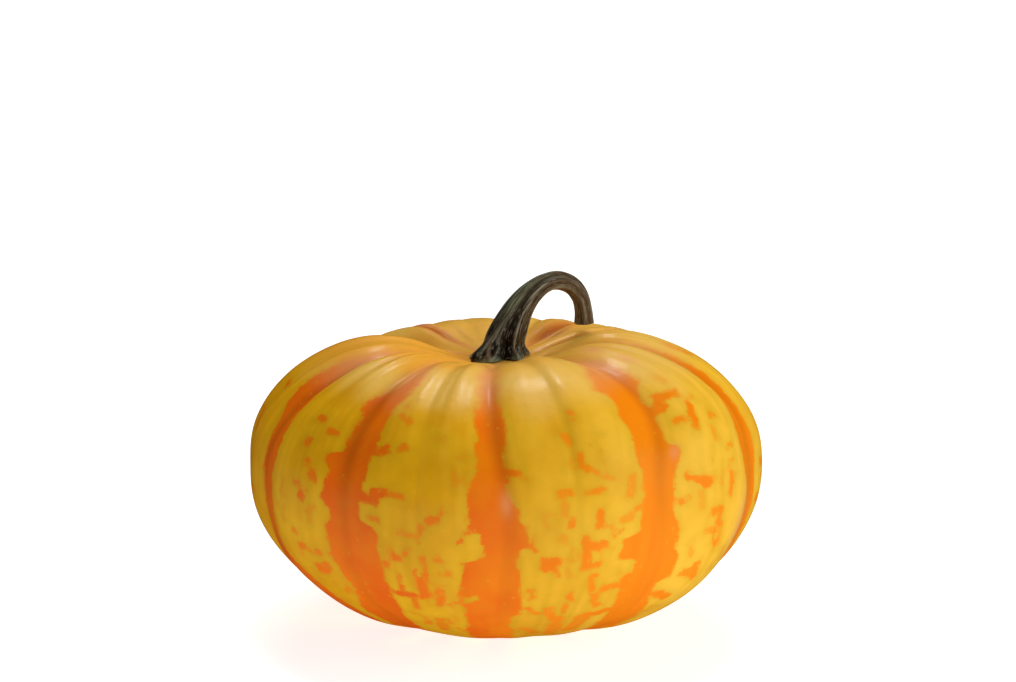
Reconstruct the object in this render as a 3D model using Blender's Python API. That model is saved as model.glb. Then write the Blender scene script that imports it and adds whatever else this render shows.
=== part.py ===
"""Striped pumpkin: one ribbed fruit and the dry, hooked stem that grows from its hollow.

Metres, +Z up. The fruit rests at z = 0 on small flats under its lobes, centred on the origin.
Azimuths are in degrees from -Y, the front of the fruit, towards +X. A polar angle runs from 0
at the stem to pi at the blossom end.
"""
import math

import bmesh
import bpy
from mathutils import Vector

COLLECTION = "striped_pumpkin"

# Body of the fruit, from its equator to the crests of the lobes
EQUATOR_RADIUS = 0.075
CROWN_HEIGHT = 0.0430
BELLY_DEPTH = 0.0472
SIDE_POWER = 0.91
CROWN_POWER = 0.845
BELLY_POWER = 0.95

# Hollow round the stem, with a flat seat under the stem's foot
HOLLOW_DEPTH = 0.0125
HOLLOW_RADIUS = 0.0250
HOLLOW_POWER = 2.3
SEAT_RADIUS = 0.0095

# Dimple at the blossom end, and how far the lowest lobes are pressed flat
DIMPLE_DEPTH = 0.0050
DIMPLE_RADIUS = 0.0120
REST_PRESS = 0.0004

# The crown stands a little to one side of the belly
CROWN_SHIFT = -0.0020

# Azimuth of each main furrow on the crown, at the equator and on the belly
FURROWS = (
    (-3.5, 0.5, -1.5),
    (44.5, 34.5, 33.0),
    (85.0, 72.5, 69.0),
    (115.0, 108.0, 106.0),
    (144.0, 143.0, 141.0),
    (178.0, 178.0, 178.0),
    (214.0, 214.0, 216.0),
    (256.0, 254.0, 255.0),
    (297.0, 293.0, 294.0),
    (323.0, 323.0, 325.5),
)

# Lobe after each furrow: where its shallow groove lies across it, how far its side swells
# past the mean, and how far its crown stands above the mean
LOBES = (
    (0.34, -0.0005, 0.0000),
    (0.50, 0.0010, 0.0004),
    (0.50, 0.0006, 0.0003),
    (0.58, -0.0008, -0.0005),
    (0.50, -0.0009, -0.0018),
    (0.42, -0.0005, -0.0023),
    (0.50, -0.0014, -0.0034),
    (0.58, -0.0003, 0.0008),
    (0.50, 0.0007, -0.0003),
    (0.50, -0.0002, 0.0000),
)

# Depth of a main furrow and of the shallow groove along each lobe
FURROW_EQUATOR = 0.0016
FURROW_CROWN = 0.0033
FURROW_BELLY = 0.0009
FURROW_POWER = 2.2
FURROW_SOFTNESS = 0.10
GROOVE_EQUATOR = 0.0002
GROOVE_CROWN = 0.0009
GROOVE_HALF_WIDTH = 0.11

COLUMNS_PER_LOBE = 12
FRUIT_RINGS = 36
RING_CROWDING = 0.35

# Stem: stations of its centre line from the foot to the cut end, each with its reach
# along the hook, its height above the foot and its mean radius
STEM_STATIONS = (
    (0.0005, 0.0000, 0.0081),
    (0.0012, 0.0012, 0.0072),
    (0.0020, 0.0030, 0.0063),
    (0.0029, 0.0058, 0.0056),
    (0.0051, 0.0102, 0.0047),
    (0.0076, 0.0140, 0.0040),
    (0.0109, 0.0173, 0.0034),
    (0.0154, 0.0199, 0.0029),
    (0.0203, 0.0205, 0.0027),
    (0.0249, 0.0187, 0.0026),
    (0.0281, 0.0150, 0.0026),
    (0.0294, 0.0103, 0.0026),
    (0.0295, 0.0056, 0.0029),
)
HOOK_AZIMUTH = 120.0
STEM_GAP = 0.0003
STEM_RIDGES = 6
GROOVE_START = -103.0
RIDGE_DEPTH_FOOT = 0.17
RIDGE_DEPTH_TIP = 0.09
RIDGE_TWIST = 60.0
STEM_SIDES = 30
STEM_RINGS = 36


def smooth_step(low, high, value):
    """Rise from 0 at low to 1 at high without a corner."""
    share = min(max((value - low) / (high - low), 0.0), 1.0)
    return share * share * (3.0 - 2.0 * share)


def meridian(polar):
    """Radius and height above the equator of the fruit without its furrows."""
    radius = EQUATOR_RADIUS * math.sin(polar) ** SIDE_POWER
    if polar < math.pi / 2:
        seat_polar = math.asin((SEAT_RADIUS / EQUATOR_RADIUS) ** (1.0 / SIDE_POWER))
        crown = math.cos(max(polar, seat_polar)) ** CROWN_POWER
        hollow_share = max(radius, SEAT_RADIUS) / HOLLOW_RADIUS
        hollow = HOLLOW_DEPTH * math.exp(-hollow_share ** HOLLOW_POWER)
        return radius, CROWN_HEIGHT * crown - hollow
    belly = abs(math.cos(polar)) ** BELLY_POWER
    dimple = DIMPLE_DEPTH * math.exp(-(radius / DIMPLE_RADIUS) ** 2)
    return radius, dimple - BELLY_DEPTH * belly


def outward(polar):
    """Unit normal of the meridian, as its radial and vertical shares."""
    step = 0.001
    above = meridian(max(polar - step, 0.0))
    below = meridian(min(polar + step, math.pi))
    along = (below[0] - above[0], below[1] - above[1])
    length = math.hypot(*along)
    return -along[1] / length, along[0] / length


def furrow_azimuth(index, polar):
    """Azimuth in degrees of a main furrow at a polar angle."""
    crown, equator, belly = FURROWS[index % len(FURROWS)]
    azimuth = equator
    azimuth += (crown - equator) * smooth_step(0.1, 0.85, math.cos(polar))
    azimuth += (belly - equator) * smooth_step(0.1, 0.85, -math.cos(polar))
    return azimuth + 360.0 * (index // len(FURROWS))


def relief(lobe, share, polar, radius):
    """How far the skin stands out from the plain body: swell less furrow less groove."""
    crown = math.cos(polar)
    from_furrow = 1.0 - abs(2.0 * share - 1.0)
    rounded = math.hypot(from_furrow, FURROW_SOFTNESS) - FURROW_SOFTNESS
    rounded /= math.hypot(1.0, FURROW_SOFTNESS) - FURROW_SOFTNESS
    depth = FURROW_EQUATOR
    depth += (FURROW_CROWN - FURROW_EQUATOR) * smooth_step(0.25, 0.85, crown)
    depth += (FURROW_BELLY - FURROW_EQUATOR) * smooth_step(0.2, 0.9, -crown)
    furrow = depth * (1.0 - rounded) ** FURROW_POWER * smooth_step(0.008, 0.024, radius)

    groove = GROOVE_EQUATOR + (GROOVE_CROWN - GROOVE_EQUATOR) * smooth_step(0.2, 0.75, crown)
    groove *= math.exp(-((share - LOBES[lobe][0]) / GROOVE_HALF_WIDTH) ** 2)
    groove *= smooth_step(0.010, 0.024, radius) * smooth_step(-0.35, 0.1, crown)

    on_crown = smooth_step(0.45, 0.85, crown)
    swell = LOBES[lobe][1] * (1.0 - on_crown) * smooth_step(0.015, 0.045, radius)
    swell += LOBES[lobe][2] * on_crown * smooth_step(0.010, 0.028, radius)
    return swell * math.sin(math.pi * share) ** 2 - furrow - groove


def fruit_point(column, polar):
    """A point of the skin, measured from the middle of the equator."""
    lobe = column // COLUMNS_PER_LOBE
    share = (column % COLUMNS_PER_LOBE) / COLUMNS_PER_LOBE
    start = furrow_azimuth(lobe, polar)
    azimuth = math.radians(start + (furrow_azimuth(lobe + 1, polar) - start) * share)
    radius, height = meridian(polar)
    across, up = outward(polar)
    lift = relief(lobe, share, polar, radius)
    radius += across * lift
    height += up * lift
    shift = CROWN_SHIFT * max(math.cos(polar), 0.0) ** 1.5
    return Vector((shift + radius * math.sin(azimuth), -radius * math.cos(azimuth), height))


def new_object(name, bm, material, sharp_angle):
    """Put a finished bmesh in the part's collection under its node name."""
    bmesh.ops.recalc_face_normals(bm, faces=bm.faces)
    mesh = bpy.data.meshes.new(name)
    bm.to_mesh(mesh)
    bm.free()
    mesh.materials.append(material)
    mesh.shade_smooth()
    mesh.set_sharp_from_angle(angle=math.radians(sharp_angle))
    bpy.data.collections[COLLECTION].objects.link(bpy.data.objects.new(name, mesh))


def plain_material(name, colour, roughness):
    """One Principled material in the real surface's mean colour."""
    material = bpy.data.materials.new(name)
    material.use_nodes = True
    shader = material.node_tree.nodes["Principled BSDF"]
    shader.inputs["Base Color"].default_value = (*colour, 1.0)
    shader.inputs["Roughness"].default_value = roughness
    shader.inputs["Metallic"].default_value = 0.0
    return material


def build_fruit():
    """The ribbed body: a sphere's grid moved onto the furrowed skin."""
    columns = COLUMNS_PER_LOBE * len(LOBES)
    bm = bmesh.new()
    bmesh.ops.create_uvsphere(bm, u_segments=columns, v_segments=FRUIT_RINGS, radius=1.0)
    pole = max(bm.verts, key=lambda vertex: vertex.co.z)
    for vertex in bm.verts:
        x, y, z = vertex.co
        column = round(math.atan2(x, -y) / (2.0 * math.pi) * columns) % columns
        step = math.acos(max(min(z, 1.0), -1.0)) / math.pi
        crowded = step - RING_CROWDING * math.sin(2.0 * math.pi * step) / (2.0 * math.pi)
        vertex.co = fruit_point(column, crowded * math.pi)

    low = min(vertex.co.z for vertex in bm.verts) + REST_PRESS
    across = [vertex.co.x for vertex in bm.verts]
    along = [vertex.co.y for vertex in bm.verts]
    middle_x = (max(across) + min(across)) / 2.0
    middle_y = (max(along) + min(along)) / 2.0
    for vertex in bm.verts:
        vertex.co -= Vector((middle_x, middle_y, low))
        vertex.co.z = max(vertex.co.z, 0.0)
    seat = pole.co.copy()
    rind = plain_material("Striped rind", (0.80, 0.36, 0.03), 0.35)
    new_object("fruit", bm, rind, 60.0)
    return seat


def station(progress):
    """Reach, height and radius of the stem at a share of its length, on a smooth curve."""
    last = len(STEM_STATIONS) - 1
    place = min(max(progress, 0.0), 1.0) * last
    index = min(int(place), last - 1)
    share = place - index
    around = [STEM_STATIONS[min(max(index + offset, 0), last)] for offset in (-1, 0, 1, 2)]
    values = []
    for before, here, there, after in zip(*around):
        slope_here = (there - before) / 2.0
        slope_there = (after - here) / 2.0
        cubed = 2.0 * (here - there) + slope_here + slope_there
        squared = 3.0 * (there - here) - 2.0 * slope_here - slope_there
        values.append(((cubed * share + squared) * share + slope_here) * share + here)
    return values


def stem_point(progress, angle):
    """A point of the ridged skin, measured from the middle of the stem's foot."""
    reach, height, radius = station(progress)
    before = station(progress - 0.01)
    after = station(progress + 0.01)
    lean = math.atan2(after[0] - before[0], after[1] - before[1]) * smooth_step(0.08, 0.5, progress)
    depth = RIDGE_DEPTH_FOOT + (RIDGE_DEPTH_TIP - RIDGE_DEPTH_FOOT) * progress
    turned = angle - math.radians(GROOVE_START - RIDGE_TWIST * progress)
    groove = 1.0 - abs(math.sin(STEM_RIDGES * turned / 2.0))
    radius *= 1.0 + 0.35 * depth - depth * groove
    out = radius * math.cos(angle)
    side = radius * math.sin(angle)
    reach += out * math.cos(lean)
    height -= out * math.sin(lean)
    heading = math.radians(HOOK_AZIMUTH)
    x = reach * math.sin(heading) + side * math.cos(heading)
    y = side * math.sin(heading) - reach * math.cos(heading)
    return Vector((x, y, height))


def build_stem(seat):
    """The dry stem: a sphere's grid drawn out along the hook, its poles the two flat ends."""
    bm = bmesh.new()
    bmesh.ops.create_uvsphere(bm, u_segments=STEM_SIDES, v_segments=STEM_RINGS, radius=1.0)
    foot = seat + Vector((0.0, 0.0, STEM_GAP))
    for vertex in bm.verts:
        x, y, z = vertex.co
        ring = round(math.acos(max(min(z, 1.0), -1.0)) / math.pi * STEM_RINGS)
        progress = min(max(1.0 - (ring - 1) / (STEM_RINGS - 2), 0.0), 1.0)
        if ring in (0, STEM_RINGS):
            rim = [stem_point(progress, 2.0 * math.pi * side / STEM_SIDES) for side in range(STEM_SIDES)]
            vertex.co = foot + sum(rim, Vector()) / STEM_SIDES
        else:
            vertex.co = foot + stem_point(progress, math.atan2(y, x))
    dry = plain_material("Dry stem", (0.045, 0.035, 0.022), 0.75)
    new_object("stem", bm, dry, 50.0)


for old in list(bpy.data.objects):
    bpy.data.objects.remove(old, do_unlink=True)
bpy.context.scene.collection.children.link(bpy.data.collections.new(COLLECTION))
build_stem(build_fruit())
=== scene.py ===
"""Looks of the striped pumpkin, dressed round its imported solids.

Metres, +Z up, front towards -Y. A place on the rind is given as a lobe and an arc. The lobe
counts the ten furrows from the front one, 0, towards +X, with shares of a lobe between them.
The arc is the way in millimetres from the stem's axis down the skin to the blossom end.
"""

import math

import bpy
import numpy as np
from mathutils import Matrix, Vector


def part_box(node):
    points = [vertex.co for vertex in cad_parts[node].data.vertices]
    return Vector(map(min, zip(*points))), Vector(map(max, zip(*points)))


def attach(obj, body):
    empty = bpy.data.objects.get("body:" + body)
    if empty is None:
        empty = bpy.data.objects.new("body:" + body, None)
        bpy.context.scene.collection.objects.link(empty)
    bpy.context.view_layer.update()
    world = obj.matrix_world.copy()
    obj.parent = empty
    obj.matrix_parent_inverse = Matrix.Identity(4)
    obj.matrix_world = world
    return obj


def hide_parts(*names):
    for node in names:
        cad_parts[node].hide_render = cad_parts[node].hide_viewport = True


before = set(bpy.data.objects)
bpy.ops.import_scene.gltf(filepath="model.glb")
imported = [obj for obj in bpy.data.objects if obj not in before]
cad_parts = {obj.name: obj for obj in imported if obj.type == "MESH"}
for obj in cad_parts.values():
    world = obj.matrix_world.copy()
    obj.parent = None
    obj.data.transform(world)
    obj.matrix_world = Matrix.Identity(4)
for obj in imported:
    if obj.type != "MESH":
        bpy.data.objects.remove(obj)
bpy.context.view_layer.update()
bpy.ops.object.select_all(action="DESELECT")

# Fruit. A ripe squash is one hard shell that grew as one piece, with rounded lobes between
# furrows that run from the hollow under the stem to the blossom end. It stands on the flats
# that its weight pressed under the lobes, and it carries the marks of an uneven growth.

# The plain body: its radius, its reach above and below the equator, and how full each part is
EQUATOR_RADIUS = 0.075
CROWN_HEIGHT = 0.0430
BELLY_DEPTH = 0.0472
SIDE_POWER = 0.91
CROWN_POWER = 0.845
BELLY_POWER = 0.95
HOLLOW_DEPTH = 0.0125
HOLLOW_RADIUS = 0.0250
HOLLOW_POWER = 2.3
SEAT_RADIUS = 0.0095
DIMPLE_DEPTH = 0.0050
DIMPLE_RADIUS = 0.0120
CROWN_SHIFT = -0.0020
SHIFT_POWER = 1.5

# Azimuth of each furrow on the crown, at the equator and on the belly, in degrees from -Y
FURROWS = (
    (-3.5, 0.5, -1.5),
    (44.5, 34.5, 33.0),
    (85.0, 72.5, 69.0),
    (115.0, 108.0, 106.0),
    (144.0, 143.0, 141.0),
    (178.0, 178.0, 178.0),
    (219.0, 214.0, 216.0),
    (256.0, 254.0, 255.0),
    (297.0, 293.0, 294.0),
    (323.0, 323.0, 325.5),
)

# Lobe after each furrow: share of its shallow groove, swell of its side, rise of its crown
LOBES = (
    (0.34, -0.0005, 0.0000),
    (0.50, 0.0010, 0.0004),
    (0.50, 0.0006, 0.0003),
    (0.58, -0.0008, -0.0016),
    (0.50, -0.0009, -0.0018),
    (0.78, -0.0005, -0.0024),
    (0.50, -0.0014, -0.0069),
    (0.58, -0.0003, 0.0008),
    (0.50, 0.0007, -0.0003),
    (0.50, -0.0002, -0.0016),
)
FURROW_EQUATOR = 0.0016
FURROW_CROWN = 0.0033
FURROW_BELLY = 0.0005
FURROW_POWER = 2.2
FURROW_SOFTNESS = 0.10
GROOVE_EQUATOR = 0.0002
GROOVE_CROWN = 0.0009
GROOVE_HALF_WIDTH = 0.11

# Where each form changes or sets in: cosine of the polar angle, or radius in metres
FURROW_TURNS = (0.1, 0.85)
FURROW_DEEPENS = (0.25, 0.85)
FURROW_FLATTENS = (0.1, 0.7)
FURROW_STARTS = (0.008, 0.024)
GROOVE_DEEPENS = (0.2, 0.75)
GROOVE_ENDS = (-0.35, 0.1)
GROOVE_STARTS = (0.010, 0.024)
CROWN_STARTS = (0.45, 0.85)
SWELL_STARTS = (0.015, 0.045)
RISE_STARTS = (0.010, 0.028)
UNEVEN_STARTS = (0.012, 0.035)

# Faint creases of the crown: place and arc at both ends, depth
CREASES = (
    (-0.36, 36.0, -0.39, 62.0, 0.00020),
    (-0.50, 58.0, -0.49, 96.0, 0.00019),
    (-0.20, 44.0, -0.22, 60.0, 0.00008),
    (0.39, 30.0, 0.43, 74.0, 0.00024),
    (0.43, 74.0, 0.45, 104.0, 0.00015),
    (0.20, 38.0, 0.21, 58.0, 0.00010),
    (0.66, 36.0, 0.70, 56.0, 0.00013),
    (1.28, 28.0, 1.30, 58.0, 0.00015),
    (1.52, 30.0, 1.55, 66.0, 0.00021),
    (-0.66, 38.0, -0.68, 58.0, 0.00011),
    (-1.24, 30.0, -1.28, 60.0, 0.00017),
    (-1.50, 26.0, -1.52, 70.0, 0.00021),
    (-1.72, 32.0, -1.74, 64.0, 0.00013),
    (-2.30, 26.0, -2.33, 62.0, 0.00020),
    (-2.60, 26.0, -2.62, 62.0, 0.00015),
    (2.28, 28.0, 2.32, 60.0, 0.00018),
    (2.62, 26.0, 2.60, 62.0, 0.00015),
    (3.35, 28.0, 3.33, 60.0, 0.00015),
    (3.66, 26.0, 3.70, 58.0, 0.00014),
    (4.30, 26.0, 4.32, 62.0, 0.00018),
    (4.70, 28.0, 4.68, 58.0, 0.00015),
    (5.45, 26.0, 5.42, 64.0, 0.00017),
    (6.35, 26.0, 6.33, 62.0, 0.00017),
    (6.68, 28.0, 6.70, 60.0, 0.00014),
)
CREASE_FADE = 9.0
CREASE_HALF_WIDTH = 0.0011
UNEVENNESS = 0.00014
BLOSSOM_ARC = 150.0
SCAR_RADIUS = 0.0042
SCAR_DEPTH = 0.0005

# The mesh: a globe of this many parts round and from pole to pole, each cut this many times
FRUIT_SEGMENTS = 120
FRUIT_RINGS = 50
FRUIT_CUTS = 3


def smooth_step(low, high, value):
    """Rise from 0 at low to 1 at high without a corner."""
    share = np.clip((value - low) / (high - low), 0.0, 1.0)
    return share * share * (3.0 - 2.0 * share)


def meridian(polar):
    """Radius and height above the equator of the fruit without its furrows."""
    radius = EQUATOR_RADIUS * np.clip(np.sin(polar), 0.0, 1.0) ** SIDE_POWER
    seat_polar = math.asin((SEAT_RADIUS / EQUATOR_RADIUS) ** (1.0 / SIDE_POWER))
    crown = np.clip(np.cos(np.maximum(polar, seat_polar)), 0.0, 1.0) ** CROWN_POWER
    hollow_share = np.maximum(radius, SEAT_RADIUS) / HOLLOW_RADIUS
    upper = CROWN_HEIGHT * crown - HOLLOW_DEPTH * np.exp(-hollow_share ** HOLLOW_POWER)
    belly = np.clip(-np.cos(polar), 0.0, 1.0) ** BELLY_POWER
    lower = DIMPLE_DEPTH * np.exp(-(radius / DIMPLE_RADIUS) ** 2) - BELLY_DEPTH * belly
    return radius, np.where(polar < math.pi / 2.0, upper, lower)


def furrow_azimuth(index, polar):
    """Azimuth in degrees of a furrow at a polar angle."""
    crown, equator, belly = np.moveaxis(np.array(FURROWS)[index % len(FURROWS)], -1, 0)
    azimuth = equator + (crown - equator) * smooth_step(*FURROW_TURNS, np.cos(polar))
    azimuth += (belly - equator) * smooth_step(*FURROW_TURNS, -np.cos(polar))
    return azimuth + 360.0 * (index // len(FURROWS))


def lobes_away(place, start):
    """How many lobes a place lies away from another, the short way round."""
    half_turn = len(LOBES) / 2.0
    return (place - start + half_turn) % len(LOBES) - half_turn


def waves(place, arc, count, most_around, shortest, seed):
    """A seamless uneven field of about -1 to 1: whole waves round the fruit, crossed by waves along it."""
    draw = np.random.default_rng(seed)
    total = np.zeros(np.broadcast(place, arc).shape)
    for _ in range(count):
        around = draw.integers(-most_around, most_around + 1) * place / len(LOBES)
        along = draw.uniform(-1.0, 1.0) * arc / shortest
        total += np.cos(2.0 * np.pi * (around + along + draw.uniform()))
    return total / math.sqrt(count)


def crease_field(place, radius, arc):
    """Depth of the fine creases."""
    total = np.zeros(np.broadcast(place, arc).shape)
    lobe_span = 2.0 * np.pi / len(LOBES) * radius
    for start_place, start_arc, end_place, end_arc, depth in CREASES:
        line = np.interp(arc, (start_arc, end_arc), (start_place, end_place))
        across = lobes_away(place, line) * lobe_span
        beyond = np.maximum(np.maximum(start_arc - arc, arc - end_arc), 0.0)
        total += depth * np.exp(-(across / CREASE_HALF_WIDTH) ** 2 - (beyond / CREASE_FADE) ** 2)
    return total


def relief(place, polar, radius, arc):
    """How far the skin stands out from the plain body."""
    lobe = np.floor(place).astype(int) % len(LOBES)
    share = place - np.floor(place)
    groove_share, side_swell, crown_rise = np.array(LOBES)[lobe].T
    up = np.cos(polar)
    rounded = np.hypot(1.0 - np.abs(2.0 * share - 1.0), FURROW_SOFTNESS) - FURROW_SOFTNESS
    rounded /= math.hypot(1.0, FURROW_SOFTNESS) - FURROW_SOFTNESS
    depth = FURROW_EQUATOR + (FURROW_CROWN - FURROW_EQUATOR) * smooth_step(*FURROW_DEEPENS, up)
    depth += (FURROW_BELLY - FURROW_EQUATOR) * smooth_step(*FURROW_FLATTENS, -up)
    furrow = depth * (1.0 - rounded) ** FURROW_POWER * smooth_step(*FURROW_STARTS, radius)

    groove = GROOVE_EQUATOR + (GROOVE_CROWN - GROOVE_EQUATOR) * smooth_step(*GROOVE_DEEPENS, up)
    groove *= np.exp(-((share - groove_share) / GROOVE_HALF_WIDTH) ** 2)
    groove *= smooth_step(*GROOVE_STARTS, radius) * smooth_step(*GROOVE_ENDS, up)
    groove += crease_field(place, radius, arc)

    on_crown = smooth_step(*CROWN_STARTS, up)
    swell = side_swell * (1.0 - on_crown) * smooth_step(*SWELL_STARTS, radius)
    swell += crown_rise * on_crown * smooth_step(*RISE_STARTS, radius)
    uneven = UNEVENNESS * waves(place, arc, count=30, most_around=22, shortest=22.0, seed=3)
    uneven *= smooth_step(*UNEVEN_STARTS, radius)
    rim = (arc > BLOSSOM_ARC) * np.exp(-((radius - SCAR_RADIUS) / (0.25 * SCAR_RADIUS)) ** 2)
    return swell * np.sin(np.pi * share) ** 2 - furrow - groove + uneven - SCAR_DEPTH * rim


polar_steps = np.linspace(0.0, np.pi, 4001)
step_radius, step_height = meridian(polar_steps)
arc_steps = np.hypot(np.diff(step_radius), np.diff(step_height)).cumsum() * 1000.0
arc_steps = np.concatenate([[0.0], arc_steps])
FULL_ARC = arc_steps[-1]
POLAR_STEP = 0.001


def skin_point(place, arc):
    """Points of the skin, measured from the middle of the equator."""
    polar = np.interp(arc, arc_steps, polar_steps)
    radius, height = meridian(polar)
    above = meridian(np.maximum(polar - POLAR_STEP, 0.0))
    below = meridian(np.minimum(polar + POLAR_STEP, np.pi))
    outward, downward = below[0] - above[0], below[1] - above[1]
    length = np.hypot(outward, downward)
    lift = relief(place, polar, radius, arc)
    radius = radius - lift * downward / length
    height = height + lift * outward / length
    lobe = np.floor(place).astype(int)
    start = furrow_azimuth(lobe, polar)
    azimuth = np.radians(start + (furrow_azimuth(lobe + 1, polar) - start) * (place - lobe))
    shift = CROWN_SHIFT * np.maximum(np.cos(polar), 0.0) ** SHIFT_POWER
    return np.stack([shift + radius * np.sin(azimuth), -radius * np.cos(azimuth), height], -1)


def directions(obj):
    """Unit directions of a sphere's vertices from its middle, as x, y and z."""
    corners = np.empty(len(obj.data.vertices) * 3)
    obj.data.vertices.foreach_get("co", corners)
    corners = corners.reshape(-1, 3)
    return (corners / np.linalg.norm(corners, axis=1)[:, None]).T


def cut_finer(cuts):
    """Divide every edge of the active mesh."""
    bpy.ops.object.mode_set(mode="EDIT")
    bpy.ops.mesh.select_all(action="SELECT")
    bpy.ops.mesh.subdivide(number_cuts=cuts)
    bpy.ops.object.mode_set(mode="OBJECT")


low, high = (np.array(corner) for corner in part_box("fruit"))
bpy.ops.mesh.primitive_uv_sphere_add(
    segments=FRUIT_SEGMENTS, ring_count=FRUIT_RINGS, radius=EQUATOR_RADIUS, location=(low + high) / 2.0
)
fruit = bpy.context.object
fruit.name = "pumpkin_fruit"
cut_finer(FRUIT_CUTS)
x, y, z = directions(fruit)
place = np.arctan2(x, -y) / (2.0 * np.pi) * len(LOBES) % len(LOBES)
arc = np.arccos(np.clip(z, -1.0, 1.0)) / np.pi * FULL_ARC
skin = skin_point(place, arc)

# The skin is centred in the solid's box, with its top at the box's top and its feet pressed flat
skin[:, :2] += (low + high)[:2] / 2.0 - (skin.max(0) + skin.min(0))[:2] / 2.0
skin[:, 2] += high[2] - skin[:, 2].max()
skin[:, 2] = np.maximum(skin[:, 2], low[2])
fruit.location = (0.0, 0.0, 0.0)
fruit.data.vertices.foreach_set("co", skin.ravel())
fruit.data.update()
bpy.ops.object.shade_smooth()

# Markings of the rind. Each furrow carries an orange stripe with stepped edges, and angular
# flecks of the same orange lie scattered on the yellow between them, thinly on the crown and
# thickly on the belly. They are colour in the living skin, with no height of their own.

# Stripes that show in front, as rows of arc, left edge, right edge
FRONT_STRIPES = (
    (
        (0, -0.03, 0.02), (30, -0.06, 0.03), (40, -0.09, 0.05), (50, -0.085, 0.05),
        (55, -0.09, 0.055), (60, -0.115, 0.07), (65, -0.12, 0.085), (71, -0.12, 0.07),
        (75, -0.13, 0.025), (79, -0.14, 0.02), (82, -0.18, 0.03), (86, -0.21, 0.01),
        (90, -0.215, 0.065), (93.5, -0.215, 0.075), (94.5, -0.215, 0.12), (96.5, -0.20, 0.125),
        (97.2, -0.135, 0.125), (101, -0.135, 0.15), (102, -0.135, 0.07), (104.4, -0.13, 0.065),
        (105.4, -0.24, 0.07), (111, -0.255, 0.09), (117, -0.275, 0.105), (121, -0.29, 0.125),
        (123, -0.25, 0.13), (126.5, -0.25, 0.135), (127.5, -0.25, 0.07), (134, -0.26, 0.07),
        (137, -0.30, 0.11), (150, -0.29, 0.12), (180, -0.20, 0.15), (196, -0.10, 0.10),
    ),
    (
        (0, 0.97, 1.02), (30, 0.92, 1.06), (40, 0.84, 1.12), (47, 0.74, 1.14),
        (53, 0.70, 1.14), (55, 0.69, 1.08), (57, 0.755, 1.04), (62, 0.78, 1.02),
        (66, 0.77, 1.04), (70, 0.81, 1.05), (76, 0.82, 1.07), (77.5, 0.825, 1.15),
        (80, 0.84, 1.17), (82, 0.875, 1.15), (85, 0.885, 1.12), (90, 0.89, 1.115),
        (95, 0.865, 1.10), (99.5, 0.85, 1.135), (100.5, 0.735, 1.14), (106.5, 0.705, 1.13),
        (107.8, 0.84, 1.16), (112, 0.84, 1.17), (113, 0.76, 1.165), (116.5, 0.76, 1.17),
        (118, 0.80, 1.10), (125, 0.81, 1.12), (130, 0.83, 1.16), (137, 0.85, 1.22),
        (150, 0.88, 1.22), (180, 0.86, 1.14), (196, 0.90, 1.10),
    ),
    (
        (0, -1.03, -0.96), (30, -1.04, -0.88), (40, -0.97, -0.74), (47, -0.96, -0.72),
        (52, -0.95, -0.72), (57, -1.05, -0.74), (60, -1.13, -0.78), (63, -1.11, -0.78),
        (66, -1.05, -0.79), (76, -1.05, -0.80), (78.5, -1.06, -0.82), (79.5, -1.19, -0.82),
        (82, -1.20, -0.83), (83.5, -1.13, -0.83), (88, -1.16, -0.85), (92, -1.17, -0.87),
        (95, -1.12, -0.87), (96.5, -1.10, -0.86), (98, -1.10, -0.76), (100, -1.15, -0.745),
        (105, -1.13, -0.74), (110, -1.14, -0.73), (112, -1.10, -0.74), (116, -1.10, -0.745),
        (119, -1.05, -0.73), (126, -1.10, -0.74), (130, -1.20, -0.755), (150, -1.18, -0.78),
        (180, -1.14, -0.84), (196, -1.10, -0.90),
    ),
    (
        (0, -2.04, -1.96), (30, -2.08, -1.93), (40, -2.12, -1.92), (50, -2.18, -1.88),
        (60, -2.18, -1.86), (66, -2.16, -1.83), (71, -2.13, -1.80), (75, -2.07, -1.79),
        (82, -2.04, -1.76), (90, -2.03, -1.775), (97, -2.02, -1.76), (104, -2.00, -1.74),
        (111, -2.00, -1.74), (114.5, -2.02, -1.62), (120, -2.05, -1.48), (126, -2.06, -1.38),
        (132, -2.08, -1.33), (141, -2.08, -1.31), (152, -2.08, -1.44), (180, -2.12, -1.72),
        (196, -2.10, -1.90),
    ),
    (
        (0, 1.98, 2.04), (30, 2.00, 2.08), (40, 2.02, 2.11), (50, 2.04, 2.13),
        (57, 2.03, 2.13), (63, 2.00, 2.14), (68, 1.91, 2.13), (70, 1.86, 2.10),
        (75, 1.83, 2.10), (80, 1.79, 2.12), (85, 1.80, 2.15), (90, 1.82, 2.14),
        (97, 1.84, 2.10), (110, 1.82, 2.10), (130, 1.84, 2.12), (150, 1.88, 2.16),
        (180, 1.88, 2.12), (196, 1.90, 2.10),
    ),
)

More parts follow.
